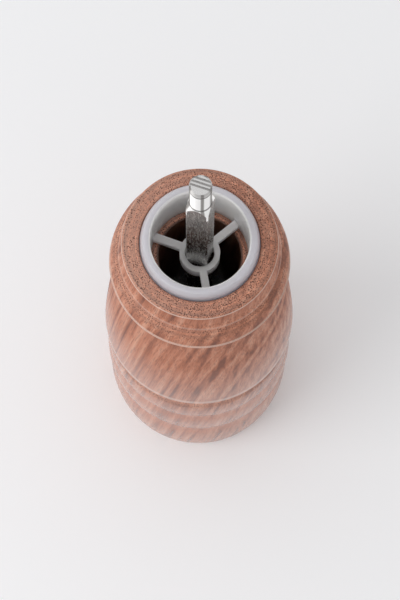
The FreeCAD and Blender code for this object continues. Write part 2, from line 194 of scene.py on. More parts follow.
# Sizes across, across and along the fibre.
SWAY = (30.0, 30.0, 170.0)
SWAY_REACH = 10.0
STREAK = (1.9, 1.9, 95.0)
FIBRE = (0.3, 0.3, 22.0)
VESSEL = (0.46, 0.46, 7.0)
# A pore's least and greatest radius, and its soft rim, are shares of its cell.
PORE_R = (0.2, 0.34)
PORE_RIM = 0.1
# A face turns from side to end grain as it faces more up or down.
END_FACING = (0.1, 0.95)
# Pairs of strengths are for the sides and the end grain.
PORE_DEPTH = (0.28, 0.95)
DARK_FIBRE = (0.92, 0.6)
PALE_FIBRE = (1.08, 1.4)
TOOL_RING = 0.9
TOOL_TONES = (0.62, 1.38)
# Pairs of strengths are for the left and the right, at these distances from the axis.
SIDES = (-20.0, 20.0)
PLAINER = (0.75, 0.3)
PLAIN_SHADE = 0.49
# The end grain is painted paler to the left, a painted sheen of the light from the left over some sanding.
SANDING_AND_SHEEN = (0.27, 0.12)
# Each pale edge, a painted highlight over some wear, has a radius, a level, a width and a strength.
WORN_AND_HIGHLIT_EDGES = ((21.2, WOOD_TOP - 0.6, 0.12, 0.6), (22.4, WOOD_TOP - 7.9, 0.45, 0.22),
              (25.1, WOOD_TOP - 16.6, 0.25, 0.5), (29.3, 70.8, 0.9, 0.35), (29.0, 0.6, 0.6, 0.3))
HIGHLIGHT_FADE = 0.1
# Bands just below the first two grooves are painted a deeper orange, a painted shade.
GROOVE_SHADED_RINGS = BASE_RINGS[:2]
GROOVE_SHADE_DROP = 2.0
GROOVE_SHADE_REACH = (1.5, 5.5)
GROOVE_SHADE = 0.28
# The bore and the inner edge of its ledge are painted near black, a painted shade.
BORE_SHADE_REACH = (0.2, 1.0)
BORE_SHADE = 0.8
LACQUER_LEVELS = (70.0, 103.0)
LACQUER = (1.0, 0.18)

wood, tree, shader, spot = begin("lacquered open-pored hardwood", {
    "Roughness": 0.65, "IOR": 1.3, "Coat Roughness": 0.22, "Coat IOR": 1.8})
place = add(tree, "SeparateXYZ", {"Vector": spot}).outputs
side, level = place["X"], place["Z"]
flat = add(tree, "VectorMath", {0: spot}, {1: (1, 1, 0)}, operation="MULTIPLY").outputs[0]
radius = add(tree, "VectorMath", {0: flat}, operation="LENGTH").outputs["Value"]
profile = add(tree, "CombineXYZ", {"X": radius, "Z": level}).outputs[0]
facing = add(tree, "SeparateXYZ", {"Vector": add(tree, "NewGeometry").outputs["Normal"]}).outputs["Z"]
facing = add(tree, "Math", {0: facing}, operation="ABSOLUTE").outputs[0]
end_grain = add(tree, "MapRange", {"Value": facing}, {
    "From Min": END_FACING[0], "From Max": END_FACING[1]}).outputs[0]

fibre = add(tree, "Mapping", {"Vector": spot}, {
    "Rotation": (0, -GRAIN_TILT, 0), "Location": HEART}).outputs[0]
waves = add(tree, "Mapping", {"Vector": fibre}, {"Scale": per_mm(SWAY)}).outputs[0]
sway = add(tree, "TexNoise", {"Vector": waves}, {"Scale": 1.0, "Detail": 2.0}).outputs["Fac"]
across = add(tree, "VectorMath", {0: fibre}, {1: (1, 1, 0)}, operation="MULTIPLY").outputs[0]
reach = add(tree, "VectorMath", {0: across}, operation="LENGTH").outputs["Value"]
bent = add(tree, "Math", {0: sway, 2: reach}, {1: SWAY_REACH}, operation="MULTIPLY_ADD").outputs[0]
rings = add(tree, "TexNoise", {"W": bent}, {"Scale": 1 / RING_WIDTH, "Detail": 3.0, "Roughness": 0.6},
            noise_dimensions="1D").outputs["Fac"]
lengths = add(tree, "Mapping", {"Vector": fibre}, {"Scale": per_mm(STREAK)}).outputs[0]
streaks = add(tree, "TexNoise", {"Vector": lengths}, {
    "Scale": 1.0, "Detail": 3.0, "Roughness": 0.55}).outputs["Fac"]
figure = add(tree, "Math", {0: rings, 2: streaks}, {1: RING_SHARE}, operation="MULTIPLY_ADD").outputs[0]
shade = add(tree, "MapRange", {"Value": figure}, {"From Min": 0.66, "From Max": 1.14}).outputs[0]
plainer = add(tree, "MapRange", {"Value": side}, {
    "From Min": SIDES[0], "From Max": SIDES[1], "To Min": PLAINER[0], "To Max": PLAINER[1]}).outputs[0]
plainer = add(tree, "Math", {0: end_grain, 1: plainer}, operation="MULTIPLY").outputs[0]
shade = add(tree, "Mix", {0: plainer, 2: shade}, {3: PLAIN_SHADE}).outputs[0]
tone = add(tree, "ValToRGB", {"Fac": shade})
stops = tone.color_ramp.elements
for position, colour in WOOD_TONES[1:-1]:
    stops.new(position)
for stop, (position, colour) in zip(stops, WOOD_TONES):
    stop.position = position
    stop.color = linear(colour)

threads = add(tree, "Mapping", {"Vector": fibre}, {"Scale": per_mm(FIBRE)}).outputs[0]
fibres = add(tree, "TexNoise", {"Vector": threads}, {"Scale": 1.0, "Detail": 2.0}).outputs["Fac"]
dark = add(tree, "MapRange", {"Value": end_grain}, {
    "To Min": DARK_FIBRE[0], "To Max": DARK_FIBRE[1]}).outputs[0]
pale = add(tree, "MapRange", {"Value": end_grain}, {
    "To Min": PALE_FIBRE[0], "To Max": PALE_FIBRE[1]}).outputs[0]
grain = add(tree, "MapRange", {"Value": fibres, "To Min": dark, "To Max": pale}, {
    "From Min": 0.3, "From Max": 0.7}).outputs[0]
coloured = add(tree, "Mix", {6: tone.outputs["Color"], 7: grain}, {0: 1.0}, data_type="RGBA",
               blend_type="MULTIPLY").outputs[2]
turning = add(tree, "TexNoise", {"W": radius}, {"Scale": 1 / TOOL_RING, "Detail": 2.0, "Roughness": 0.6},
              noise_dimensions="1D").outputs["Fac"]
turning = add(tree, "MapRange", {"Value": turning}, {
    "From Min": 0.32, "From Max": 0.68, "To Min": TOOL_TONES[0], "To Max": TOOL_TONES[1]}).outputs[0]
coloured = add(tree, "Mix", {0: end_grain, 6: coloured, 7: turning}, data_type="RGBA",
               blend_type="MULTIPLY").outputs[2]
# Painted paler to the left: a painted sheen of the light from the left over a little sanding.
sanding_and_sheen = add(tree, "MapRange", {"Value": side}, {
    "From Min": SIDES[0], "From Max": SIDES[1], "To Min": SANDING_AND_SHEEN[0], "To Max": SANDING_AND_SHEEN[1]}).outputs[0]
sanding_and_sheen = add(tree, "Math", {0: end_grain, 1: sanding_and_sheen}, operation="MULTIPLY").outputs[0]
coloured = add(tree, "Mix", {0: sanding_and_sheen, 6: coloured}, {7: linear(SANDING_AND_SHEEN_CREAM)}, data_type="RGBA").outputs[2]

bundles = add(tree, "Mapping", {"Vector": fibre}, {"Scale": per_mm(VESSEL)}).outputs[0]
cells = add(tree, "TexVoronoi", {"Vector": bundles}, {"Scale": 1.0, "Randomness": 0.8}).outputs["Distance"]
room = add(tree, "MapRange", {"Value": rings}, {
    "From Min": 0.35, "From Max": 0.65, "To Min": PORE_R[0], "To Max": PORE_R[1]}).outputs[0]
rim = add(tree, "Math", {0: room}, {1: PORE_RIM}, operation="ADD").outputs[0]
deep = add(tree, "MapRange", {"Value": end_grain}, {
    "To Min": PORE_DEPTH[0], "To Max": PORE_DEPTH[1]}).outputs[0]
pores = add(tree, "MapRange", {"Value": cells, "From Min": room, "From Max": rim, "To Min": deep}, {
    "To Max": 0.0}).outputs[0]
coloured = add(tree, "Mix", {0: pores, 6: coloured}, {7: linear(PORE_BROWN)}, data_type="RGBA").outputs[2]
# The pale edges, lip and foot are painted highlights and reflections over a little wear.
for edge_r, edge_z, width, paleness in WORN_AND_HIGHLIT_EDGES:
    gap = add(tree, "VectorMath", {0: profile}, {1: (edge_r, 0, edge_z)},
              operation="DISTANCE").outputs["Value"]
    wear_and_highlight = add(tree, "MapRange", {"Value": gap}, {
        "From Min": width, "From Max": 2 * width + HIGHLIGHT_FADE, "To Min": paleness, "To Max": 0.0}).outputs[0]
    coloured = add(tree, "Mix", {0: wear_and_highlight, 6: coloured}, {7: linear(WEAR_AND_HIGHLIGHT_CREAM)}, data_type="RGBA").outputs[2]
# A deeper orange just below each groove is painted shade.
for groove_r, groove_z, crown in GROOVE_SHADED_RINGS:
    gap = add(tree, "VectorMath", {0: profile}, {1: (groove_r, 0, groove_z - GROOVE_SHADE_DROP)},
              operation="DISTANCE").outputs["Value"]
    stain_and_shade = add(tree, "MapRange", {"Value": gap}, {
        "From Min": GROOVE_SHADE_REACH[0], "From Max": GROOVE_SHADE_REACH[1], "To Min": GROOVE_SHADE, "To Max": 0.0}).outputs[0]
    coloured = add(tree, "Mix", {0: stain_and_shade, 6: coloured}, {7: linear(GROOVE_SHADE_ORANGE)},
                   data_type="RGBA").outputs[2]
# Painted shade: the bore and its ledge's inner edge are painted near black.
bore_shadow = add(tree, "MapRange", {"Value": radius}, {
    "From Min": BORE_R + BORE_SHADE_REACH[0], "From Max": BORE_R + BORE_SHADE_REACH[1], "To Min": BORE_SHADE,
    "To Max": 0.0}).outputs[0]
coloured = add(tree, "Mix", {0: bore_shadow, 6: coloured}, {7: linear(BORE_SHADOW_BLACK)}, data_type="RGBA").outputs[2]
tree.links.new(coloured, shader.inputs["Base Color"])
lacquer = add(tree, "MapRange", {"Value": level}, {
    "From Min": LACQUER_LEVELS[0], "From Max": LACQUER_LEVELS[1], "To Min": LACQUER[0],
    "To Max": LACQUER[1]}).outputs[0]
tree.links.new(lacquer, shader.inputs["Coat Weight"])

outline = [(FOOT_R, 0), (FOOT_R + FOOT_CHAMFER, FOOT_CHAMFER)]
for groove_r, groove_z, crown in BASE_RINGS:
    outline += bow(outline[-1], (groove_r, groove_z), crown)[1:]
outline += bow(outline[-1], COVE_TOP, -COVE_DEPTH)[1:]
outline += bow(BARREL_FOOT, BARREL_NECK, BARREL_SWELL, steps=20)
outline += [BEAD_EDGE] + bow(BEAD_FOOT, BEAD_NECK, BEAD_SWELL)
outline += bow(HOLLOW_FOOT, HOLLOW_TOP, -HOLLOW_DEPTH)
outline += bow(HOLLOW_TOP, BRIM, BRIM_SWELL, steps=4)[1:]
outline += [(MOUTH_R + MOUTH_CHAMFER, WOOD_TOP), (MOUTH_R, WOOD_TOP - MOUTH_CHAMFER),
            (MOUTH_R, MOUTH_FLOOR), (BORE_R, MOUTH_FLOOR), (BORE_R, POCKET_TOP), (POCKET_R, POCKET_TOP),
            (POCKET_R, FLANGE_SEAT), (FLANGE_RECESS_R, FLANGE_SEAT), (FLANGE_RECESS_R, 0)]
shape = lathe(outline)
ease(shape, WOOD_EASE, turn=35)
turned_body = finished("turned_body", shape, wood)
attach(turned_body, "mill_body")
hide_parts("wood_body")

# Guide collar
# A ring with a three-spoked hub, moulded in one shot of frosted natural polypropylene, pressed into
# the mouth of the wood. The hub steadies the shaft and the rim centres the head.
COLLAR_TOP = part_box("top_collar")[1].z / MM
COLLAR_WALL = 16.1
COLLAR_BORE = 13.45
COLLAR_LEAD = 1.05
LEAD_RISE = 1.0
LEAD_SWELL = 0.12
LEAD_CHAMFER = 0.25
RIM_CHAMFER = 0.35
SKIRT_R = 16.35
SKIRT_LEAD = 0.4
HUB = (4.05, 5.6)
HUB_LEVELS = (130.0, 134.8)
SPOKE = (2.05, 2.6)
SPOKE_BITE = 1.2
FIRST_SPOKE = math.radians(40.5)
SPOKE_TURNS = [FIRST_SPOKE + i * math.tau / 3 for i in range(3)]


def combined(piece, tool, how):
    """The piece joined with, cut by or kept to a second object, which is used up."""
    change = piece.modifiers.new(how.lower(), "BOOLEAN")
    change.operation = how
    change.solver = "MANIFOLD"
    change.object = tool
    bpy.context.view_layer.update()
    seen = piece.evaluated_get(bpy.context.evaluated_depsgraph_get())
    made = bmesh.new()
    made.from_mesh(seen.data)
    for old in (piece, tool):
        bpy.data.objects.remove(old)
    bmesh.ops.remove_doubles(made, verts=made.verts, dist=MERGE)
    return made


def rough_cut(shape):
    """A throwaway object of a mesh, to combine with another."""
    mesh = bpy.data.meshes.new("cut")
    shape.to_mesh(mesh)
    shape.free()
    made = bpy.data.objects.new("cut", mesh)
    bpy.context.scene.collection.objects.link(made)
    return made


def bar(size, centre, turn=0.0):
    """A straight-sided block, by its size and centre in millimetres, turned about the mill's axis."""
    shape = bmesh.new()
    bmesh.ops.create_cube(shape, size=MM)
    bmesh.ops.scale(shape, vec=size, verts=shape.verts)
    bmesh.ops.translate(shape, vec=Vector(centre) * MM, verts=shape.verts)
    bmesh.ops.rotate(shape, cent=(0, 0, 0), matrix=Matrix.Rotation(turn, 3, "Z"), verts=shape.verts)
    return shape


def spider(hub, levels, spoke, reach):
    """A hub of (inner, outer) radius with three spokes of (width, height) that end flush with its top."""
    ring = lathe([(hub[0], levels[0]), (hub[1], levels[0]), (hub[1], levels[1]), (hub[0], levels[1])],
                 steps=72)
    whole = rough_cut(ring)
    start = (hub[0] + hub[1]) / 2
    for turn in SPOKE_TURNS:
        arm = bar((reach - start, *spoke), ((reach + start) / 2, 0, levels[1] - spoke[1] / 2), turn)
        whole = rough_cut(combined(whole, rough_cut(arm), "UNION"))
    return whole


# Frosted moulding scatters light inside the wall, so it looks soft and slightly grey. The rim and the
# shoulder are painted greyer than the inside, a painted shade that evens their light with the inside's.
INSIDE_WHITE = "#FAF9FB"
PAINTED_SHADE_RIM = "#BCBAC2"
PAINTED_SHADE_SHOULDER = "#B8B6BD"
SCATTER = 12.0
SHOULDER_R = COLLAR_WALL - COLLAR_LEAD
RIM_FADE = 0.5
SHOULDER_FADE = 0.3

frosted, tree, shader, spot = begin("frosted natural polypropylene", {
    "Roughness": 0.36, "IOR": 1.49, "Subsurface Weight": 1.0,
    "Subsurface Radius": (1.0, 1.0, 1.05), "Subsurface Scale": SCATTER * MM})
flat = add(tree, "VectorMath", {0: spot}, {1: (1, 1, 0)}, operation="MULTIPLY").outputs[0]
radius = add(tree, "VectorMath", {0: flat}, operation="LENGTH").outputs["Value"]
# The rim and the shoulder are painted greyer, a painted shade.
painted_shade = add(tree, "MapRange", {"Value": radius}, {
    "From Min": COLLAR_BORE, "From Max": COLLAR_BORE + RIM_FADE}).outputs[0]
coloured = add(tree, "Mix", {0: painted_shade}, {6: linear(INSIDE_WHITE), 7: linear(PAINTED_SHADE_RIM)},
               data_type="RGBA").outputs[2]
painted_shade = add(tree, "MapRange", {"Value": radius}, {
    "From Min": SHOULDER_R, "From Max": SHOULDER_R + SHOULDER_FADE}).outputs[0]
coloured = add(tree, "Mix", {0: painted_shade, 6: coloured}, {7: linear(PAINTED_SHADE_SHOULDER)},
               data_type="RGBA").outputs[2]
tree.links.new(coloured, shader.inputs["Base Color"])

ring = lathe([(COLLAR_BORE, MOUTH_FLOOR), (SKIRT_R, MOUTH_FLOOR), (SKIRT_R, WOOD_TOP - SKIRT_LEAD),
              (COLLAR_WALL, WOOD_TOP)]
             + bow((COLLAR_WALL, WOOD_TOP + LEAD_RISE),
                   (SHOULDER_R + LEAD_CHAMFER, COLLAR_TOP - LEAD_CHAMFER), LEAD_SWELL, steps=6)
             + [(SHOULDER_R, COLLAR_TOP), (COLLAR_BORE + RIM_CHAMFER, COLLAR_TOP),
                (COLLAR_BORE, COLLAR_TOP - RIM_CHAMFER)])
shape = combined(rough_cut(ring), spider(HUB, HUB_LEVELS, SPOKE, COLLAR_BORE + SPOKE_BITE), "UNION")
guide_collar = finished("guide_collar", shape, frosted)
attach(guide_collar, "mill_body")
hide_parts("top_collar")

# Grinder housing
# A tube with a foot flange and a three-armed bridge, moulded in ivory acetal and pushed up into the
# pocket under the wood. It holds the outer burr and guides the shaft.
HOUSING_LOW = 5.0
HOUSING_TOP = 46.0
HOUSING_EASE = 0.25
FLANGE_R = 22.35
SLEEVE_R = 17.75
BURR_SEAT_R = 15.65
BURR_SEAT_TOP = 29.0
THROAT_R = 14.0
BRIDGE_RING_R = 13.5
BRIDGE_RING_LOW = 42.0
CIRCLIP_GROOVE_R = 16.4
CIRCLIP_GROOVE = (11.8, 13.0)
BOSS = (5.05, 5.9)
BOSS_LEVELS = (41.0, HOUSING_TOP)
BRIDGE = (2.6, 4.0)
BRIDGE_REACH = 15.0
SCREW_CIRCLE = 20.05
SCREW_TURNS = [math.tau / 4 + i * math.tau / 3 for i in range(3)]
SCREW_HOLE_R = 1.25
CUT_PAST = 1.0


def moved(shape, run, turn):
    """The shape carried out from the axis along X, then turned about the axis."""
    place = Matrix.Rotation(turn, 4, "Z") @ Matrix.Translation((run * MM, 0, 0))
    bmesh.ops.transform(shape, matrix=place, verts=shape.verts)
    return shape


# Natural acetal is a waxy off-white, faintly clouded by the flow of the moulding, and the mould's grain
# dulls its shine unevenly. The grain is drawn coarser than a real mould's, so that it shows.
FLOW_TONES = ("#D3CBB8", "#E3DDCE")
WAXY_SCATTER = 1.0
FLOW = (6.0, 6.0, 14.0)
MOULD_GRAIN = 0.25
MOULD_DEPTH = 0.02

acetal, tree, shader, spot = begin("ivory acetal", {
    "IOR": 1.48, "Subsurface Weight": 0.15, "Subsurface Radius": (1.0, 0.9, 0.7),
    "Subsurface Scale": WAXY_SCATTER * MM})
swirls = add(tree, "Mapping", {"Vector": spot}, {"Scale": per_mm(FLOW)}).outputs[0]
flow = add(tree, "TexNoise", {"Vector": swirls}, {
    "Scale": 1.0, "Detail": 2.0, "Distortion": 1.2}).outputs["Fac"]
coloured = add(tree, "Mix", {0: flow}, {6: linear(FLOW_TONES[0]), 7: linear(FLOW_TONES[1])},
               data_type="RGBA").outputs[2]
tree.links.new(coloured, shader.inputs["Base Color"])
grit = add(tree, "TexNoise", {"Vector": spot}, {"Scale": 1 / MOULD_GRAIN, "Detail": 1.0}).outputs["Fac"]
dulled = add(tree, "MapRange", {"Value": grit}, {"To Min": 0.3, "To Max": 0.48}).outputs[0]
tree.links.new(dulled, shader.inputs["Roughness"])
dents = add(tree, "Bump", {"Height": grit}, {"Strength": 0.12, "Distance": MOULD_DEPTH * MM}).outputs[0]
tree.links.new(dents, shader.inputs["Normal"])

tube = lathe([(BURR_SEAT_R, HOUSING_LOW), (FLANGE_R, HOUSING_LOW), (FLANGE_R, FLANGE_SEAT),
              (SLEEVE_R, FLANGE_SEAT), (SLEEVE_R, HOUSING_TOP), (BRIDGE_RING_R, HOUSING_TOP),
              (BRIDGE_RING_R, BRIDGE_RING_LOW), (THROAT_R, BRIDGE_RING_LOW), (THROAT_R, BURR_SEAT_TOP),
              (BURR_SEAT_R, BURR_SEAT_TOP), (BURR_SEAT_R, CIRCLIP_GROOVE[1]),
              (CIRCLIP_GROOVE_R, CIRCLIP_GROOVE[1]), (CIRCLIP_GROOVE_R, CIRCLIP_GROOVE[0]),
              (BURR_SEAT_R, CIRCLIP_GROOVE[0])])
ease(tube, HOUSING_EASE)
shape = combined(rough_cut(tube), spider(BOSS, BOSS_LEVELS, BRIDGE, BRIDGE_REACH), "UNION")
for turn in SCREW_TURNS:
    hole = lathe([(0, HOUSING_LOW - CUT_PAST), (SCREW_HOLE_R, HOUSING_LOW - CUT_PAST),
                  (SCREW_HOLE_R, FLANGE_SEAT + CUT_PAST), (0, FLANGE_SEAT + CUT_PAST)], steps=32)
    shape = combined(rough_cut(shape), rough_cut(moved(hole, SCREW_CIRCLE, turn)), "DIFFERENCE")
burr_housing = finished("burr_housing", shape, acetal)
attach(burr_housing, "mill_body")
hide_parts("grinder_housing")

# Housing screws
# Three small pan-head wood screws of zinc-plated steel, driven up through the flange, each with a
# cross recess.
SCREW_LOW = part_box("housing_screws")[0].z / MM
SCREW_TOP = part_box("housing_screws")[1].z / MM
SCREW_R = 1.2
SCREW_TIP = 2.4
PAN_R = 2.1
PAN_FACE_R = 1.5
PAN_ROUND = 0.75
PAN_SWELL = 0.15
CROSS_RECESS = (2.4, 0.6, 1.0)

# Zinc plating is a pale, slightly cloudy metal.
ZINC_GREY = "#C4C5C3"
ZINC_CLOUD = 1.25

zinc, tree, shader, spot = begin("zinc-plated steel", {"Metallic": 1.0, "Base Color": linear(ZINC_GREY)})
cloud = add(tree, "TexNoise", {"Vector": spot}, {"Scale": 1 / ZINC_CLOUD, "Detail": 3.0}).outputs["Fac"]
gloss = add(tree, "MapRange", {"Value": cloud}, {"To Min": 0.2, "To Max": 0.42}).outputs[0]
tree.links.new(gloss, shader.inputs["Roughness"])

shape = bmesh.new()
for turn in SCREW_TURNS:
    pan = bow((PAN_FACE_R, SCREW_LOW), (PAN_R, SCREW_LOW + PAN_ROUND), PAN_SWELL, steps=6)
    screw = lathe([(0, SCREW_LOW)] + pan
                  + [(PAN_R, HOUSING_LOW), (SCREW_R, HOUSING_LOW), (SCREW_R, SCREW_TOP - SCREW_TIP),
                     (0, SCREW_TOP)], steps=48)
    for quarter in (0, math.pi / 2):
        cross = bar(CROSS_RECESS, (0, 0, SCREW_LOW), quarter)
        screw = combined(rough_cut(screw), rough_cut(cross), "DIFFERENCE")
    part = bpy.data.meshes.new("screw")
    moved(screw, SCREW_CIRCLE, turn).to_mesh(part)
    screw.free()
    shape.from_mesh(part)
flange_screws = finished("flange_screws", shape, zinc)
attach(flange_screws, "mill_body")
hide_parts("housing_screws")

# Bridge bush
# A turned brass bush with a flange, pressed into the housing's boss for the shaft to turn in. It
# keeps its frame shape.


def dress(material, *names):
    """Gives frame nodes that keep their shape a material."""
    for name in names:
        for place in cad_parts[name].material_slots:
            place.material = material


# Turned brass is bright yellow, with lines from the tool and a little brown tarnish. The lines are
# drawn coarser than a real tool's, so that they show.
BRASS_TONES = ("#DDBE78", "#A9853F")
BRASS_LINES = 0.3
TARNISH = 2.5

brass, tree, shader, spot = begin("turned brass", {"Metallic": 1.0})
tarnish = add(tree, "TexNoise", {"Vector": spot}, {"Scale": 1 / TARNISH, "Detail": 3.0}).outputs["Fac"]
browned = add(tree, "MapRange", {"Value": tarnish}, {"From Min": 0.45, "From Max": 0.75}).outputs[0]
coloured = add(tree, "Mix", {0: browned}, {6: linear(BRASS_TONES[0]), 7: linear(BRASS_TONES[1])},
               data_type="RGBA").outputs[2]
tree.links.new(coloured, shader.inputs["Base Color"])
height = add(tree, "SeparateXYZ", {"Vector": spot}).outputs["Z"]
lines = add(tree, "TexNoise", {"W": height}, {"Scale": 1 / BRASS_LINES}, noise_dimensions="1D").outputs["Fac"]
gloss = add(tree, "MapRange", {"Value": lines}, {"To Min": 0.18, "To Max": 0.4}).outputs[0]
tree.links.new(gloss, shader.inputs["Roughness"])
dress(brass, "bridge_bush")

# Stator burr
# The toothed outer burr, pressed and sintered in white ceramic, keyed into the housing. It keeps its
# frame shape.

# Sintered ceramic is a faintly warm white with a sugary grain, stained a little by the pepper. The
# grain is drawn coarser than real, so that it shows.
CERAMIC_TONES = ("#EDEBE4", "#B7A88F")
CRYSTAL = 0.2
PEPPER_STAIN = 3.5

ceramic, tree, shader, spot = begin("sintered white ceramic", {"IOR": 1.6})
stain_and_shade = add(tree, "TexNoise", {"Vector": spot}, {"Scale": 1 / PEPPER_STAIN, "Detail": 4.0}).outputs["Fac"]
stained = add(tree, "MapRange", {"Value": stain_and_shade}, {
    "From Min": 0.5, "From Max": 0.8, "To Max": 0.5}).outputs[0]
coloured = add(tree, "Mix", {0: stained}, {6: linear(CERAMIC_TONES[0]), 7: linear(CERAMIC_TONES[1])},
               data_type="RGBA").outputs[2]
tree.links.new(coloured, shader.inputs["Base Color"])
crystals = add(tree, "TexNoise", {"Vector": spot}, {"Scale": 1 / CRYSTAL, "Detail": 1.0}).outputs["Fac"]
gloss = add(tree, "MapRange", {"Value": crystals}, {"To Min": 0.24, "To Max": 0.42}).outputs[0]
tree.links.new(gloss, shader.inputs["Roughness"])
dress(ceramic, "stator_burr")

# Stator circlip
# An open ring of tempered spring steel, sprung into the housing's groove to hold the outer burr up.
# It keeps its frame shape.

# Tempering leaves steel dark grey with a dull gloss, clouded from blue to brown.
TEMPER_TONES = ("#62656E", "#7C766F")
TEMPER_CLOUD = 2.0

tempered, tree, shader, spot = begin("tempered spring steel", {"Metallic": 1.0})
cloud = add(tree, "TexNoise", {"Vector": spot}, {"Scale": 1 / TEMPER_CLOUD, "Detail": 3.0}).outputs["Fac"]
shade = add(tree, "MapRange", {"Value": cloud}, {"From Min": 0.35, "From Max": 0.65}).outputs[0]
coloured = add(tree, "Mix", {0: shade}, {6: linear(TEMPER_TONES[0]), 7: linear(TEMPER_TONES[1])},
               data_type="RGBA").outputs[2]
tree.links.new(coloured, shader.inputs["Base Color"])
gloss = add(tree, "MapRange", {"Value": cloud}, {"To Min": 0.26, "To Max": 0.42}).outputs[0]
tree.links.new(gloss, shader.inputs["Roughness"])
dress(tempered, "stator_circlip")

# Drive shaft
# A bar of bright drawn 6 mm square steel with its corners turned off, a turned spigot at the top
# that shows the parting saw's marks, and a turned stud below. The head turns it by its square.
SHAFT_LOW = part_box("drive_shaft")[0].z / MM
SHAFT_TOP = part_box("drive_shaft")[1].z / MM
SQUARE = 6.0
SHAFT_R = 3.97
SHAFT_TURN = math.radians(-18.2)
SPIGOT_R = 2.85
SPIGOT_LENGTH = 11.4
SPIGOT_CHAMFER = 0.4
SHOULDER = SHAFT_TOP - SPIGOT_LENGTH
TAPER = 2.6
SHAFT_GROOVE = (47.6, 48.4)
STUD_R = 2.5
STUD_TOP = 12.5
STUD_GROOVE = (2.2, 3.0)
GROOVE_DEPTH = 0.5
SAW_MARKS = (-0.4, 0.6, 1.6)
SAW_CUT = (12.0, 0.5, 0.4)
# Above this level the corners, which lie this far out, are given the bright turned steel, a painted
# highlight.
HIGHLIT_CORNER_LEVEL = 173.5
CORNER_OUT = 3.6
# A face that faces up more than this belongs to the sawn end.
SAWN_FACING = 0.8

# The drawn faces are dull and mottled along the bar, and the sawn end is darker along the saw's marks.
# The mottle is drawn coarser than real, so that it shows.
MOTTLE_TONES = ((0.34, "#868683"), (0.7, "#D6D5D2"))
SAWN_BRIGHT = "#D2D1CF"
SAW_MARK_GREY = "#85827F"
MOTTLE = (0.4, 0.4, 2.2)
MOTTLE_DEPTH = 0.04
SAWN_DEPTH = 0.3
SAW_MARK_REACH = (0.12, 0.38)
SAW_MARK_SHARE = 0.85

drawn, tree, shader, spot = begin("bright drawn steel", {"Metallic": 1.0})
patches = add(tree, "Mapping", {"Vector": spot}, {"Scale": per_mm(MOTTLE)}).outputs[0]
mottle = add(tree, "TexNoise", {"Vector": patches}, {
    "Scale": 1.0, "Detail": 4.0, "Roughness": 0.65}).outputs["Fac"]
dull = add(tree, "ValToRGB", {"Fac": mottle})
for stop, (position, colour) in zip(dull.color_ramp.elements, MOTTLE_TONES):
    stop.position = position
    stop.color = linear(colour)
height = add(tree, "SeparateXYZ", {"Vector": spot}).outputs["Z"]
sawn = add(tree, "Math", {0: height}, {1: SHAFT_TOP - SAWN_DEPTH}, operation="GREATER_THAN").outputs[0]
coloured = add(tree, "Mix", {0: sawn, 6: dull.outputs[0]}, {7: linear(SAWN_BRIGHT)},
               data_type="RGBA").outputs[2]
run = add(tree, "Mapping", {"Vector": spot}, {"Rotation": (0, 0, -SHAFT_TURN)}).outputs[0]
run = add(tree, "SeparateXYZ", {"Vector": run}).outputs["Y"]
# The sawn end is darker along each saw mark.
for mark in SAW_MARKS:
    off = add(tree, "Math", {0: run}, {1: mark}, operation="SUBTRACT").outputs[0]
    off = add(tree, "Math", {0: off}, operation="ABSOLUTE").outputs[0]
    marked = add(tree, "MapRange", {"Value": off}, {
        "From Min": SAW_MARK_REACH[0], "From Max": SAW_MARK_REACH[1], "To Min": SAW_MARK_SHARE,
        "To Max": 0.0}).outputs[0]
    marked = add(tree, "Math", {0: marked, 1: sawn}, operation="MULTIPLY").outputs[0]
    coloured = add(tree, "Mix", {0: marked, 6: coloured}, {7: linear(SAW_MARK_GREY)}, data_type="RGBA").outputs[2]
tree.links.new(coloured, shader.inputs["Base Color"])
pitted = add(tree, "MapRange", {"Value": mottle}, {
    "From Min": 0.36, "From Max": 0.68, "To Min": 0.19, "To Max": 0.31}).outputs[0]
tree.links.new(pitted, shader.inputs["Roughness"])
dents = add(tree, "Bump", {"Height": mottle}, {"Strength": 0.3, "Distance": MOTTLE_DEPTH * MM}).outputs[0]
tree.links.new(dents, shader.inputs["Normal"])

# The tool's fine rings round the turned end draw its highlights out along its length, between dark bands
# painted by direction round the shaft, a painted reflection. Two dark lines, painted shadow, mark the
# shoulder and the lead, and the lead is painted grey, a painted shade.
TURNED_BRIGHT = "#FAF9F7"
LEAD_SHADE_GREY = "#A5A29F"
PAINTED_REFLECTION_GREY = "#85817D"
SHADOW_LINE_GREY = "#5F5C59"
LEAD_START = 1.5
LEAD_FULL = 1.2
# Each painted dark reflection band has the middle and half of its width, in degrees round the shaft.
PAINTED_REFLECTION_BANDS = ((-166, 15), (-80, 9), (-17, 18), (62, 12), (118, 16))
BAND_FADE = (0.6, 1.2)
SHADOW_LINES = (SHOULDER + 0.1, SHAFT_TOP - 1.8)
SHADOW_LINE_REACH = (0.2, 0.5)
PAINTED_DARK_SHARE = 0.85

bright, tree, shader, spot = begin("turned steel", {
    "Metallic": 1.0, "Roughness": 0.55, "Anisotropic": 0.9, "Anisotropic Rotation": 0.25})
place = add(tree, "SeparateXYZ", {"Vector": spot}).outputs
turn = add(tree, "Math", {0: place["Y"], 1: place["X"]}, operation="ARCTAN2").outputs[0]
# The top of the spigot is painted grey, a painted shade under the chamfer.
lead_shade = add(tree, "MapRange", {"Value": place["Z"]}, {
    "From Min": SHAFT_TOP - LEAD_START, "From Max": SHAFT_TOP - LEAD_FULL, "To Max": 0.6}).outputs[0]
coloured = add(tree, "Mix", {0: lead_shade}, {6: linear(TURNED_BRIGHT), 7: linear(LEAD_SHADE_GREY)},
               data_type="RGBA").outputs[2]
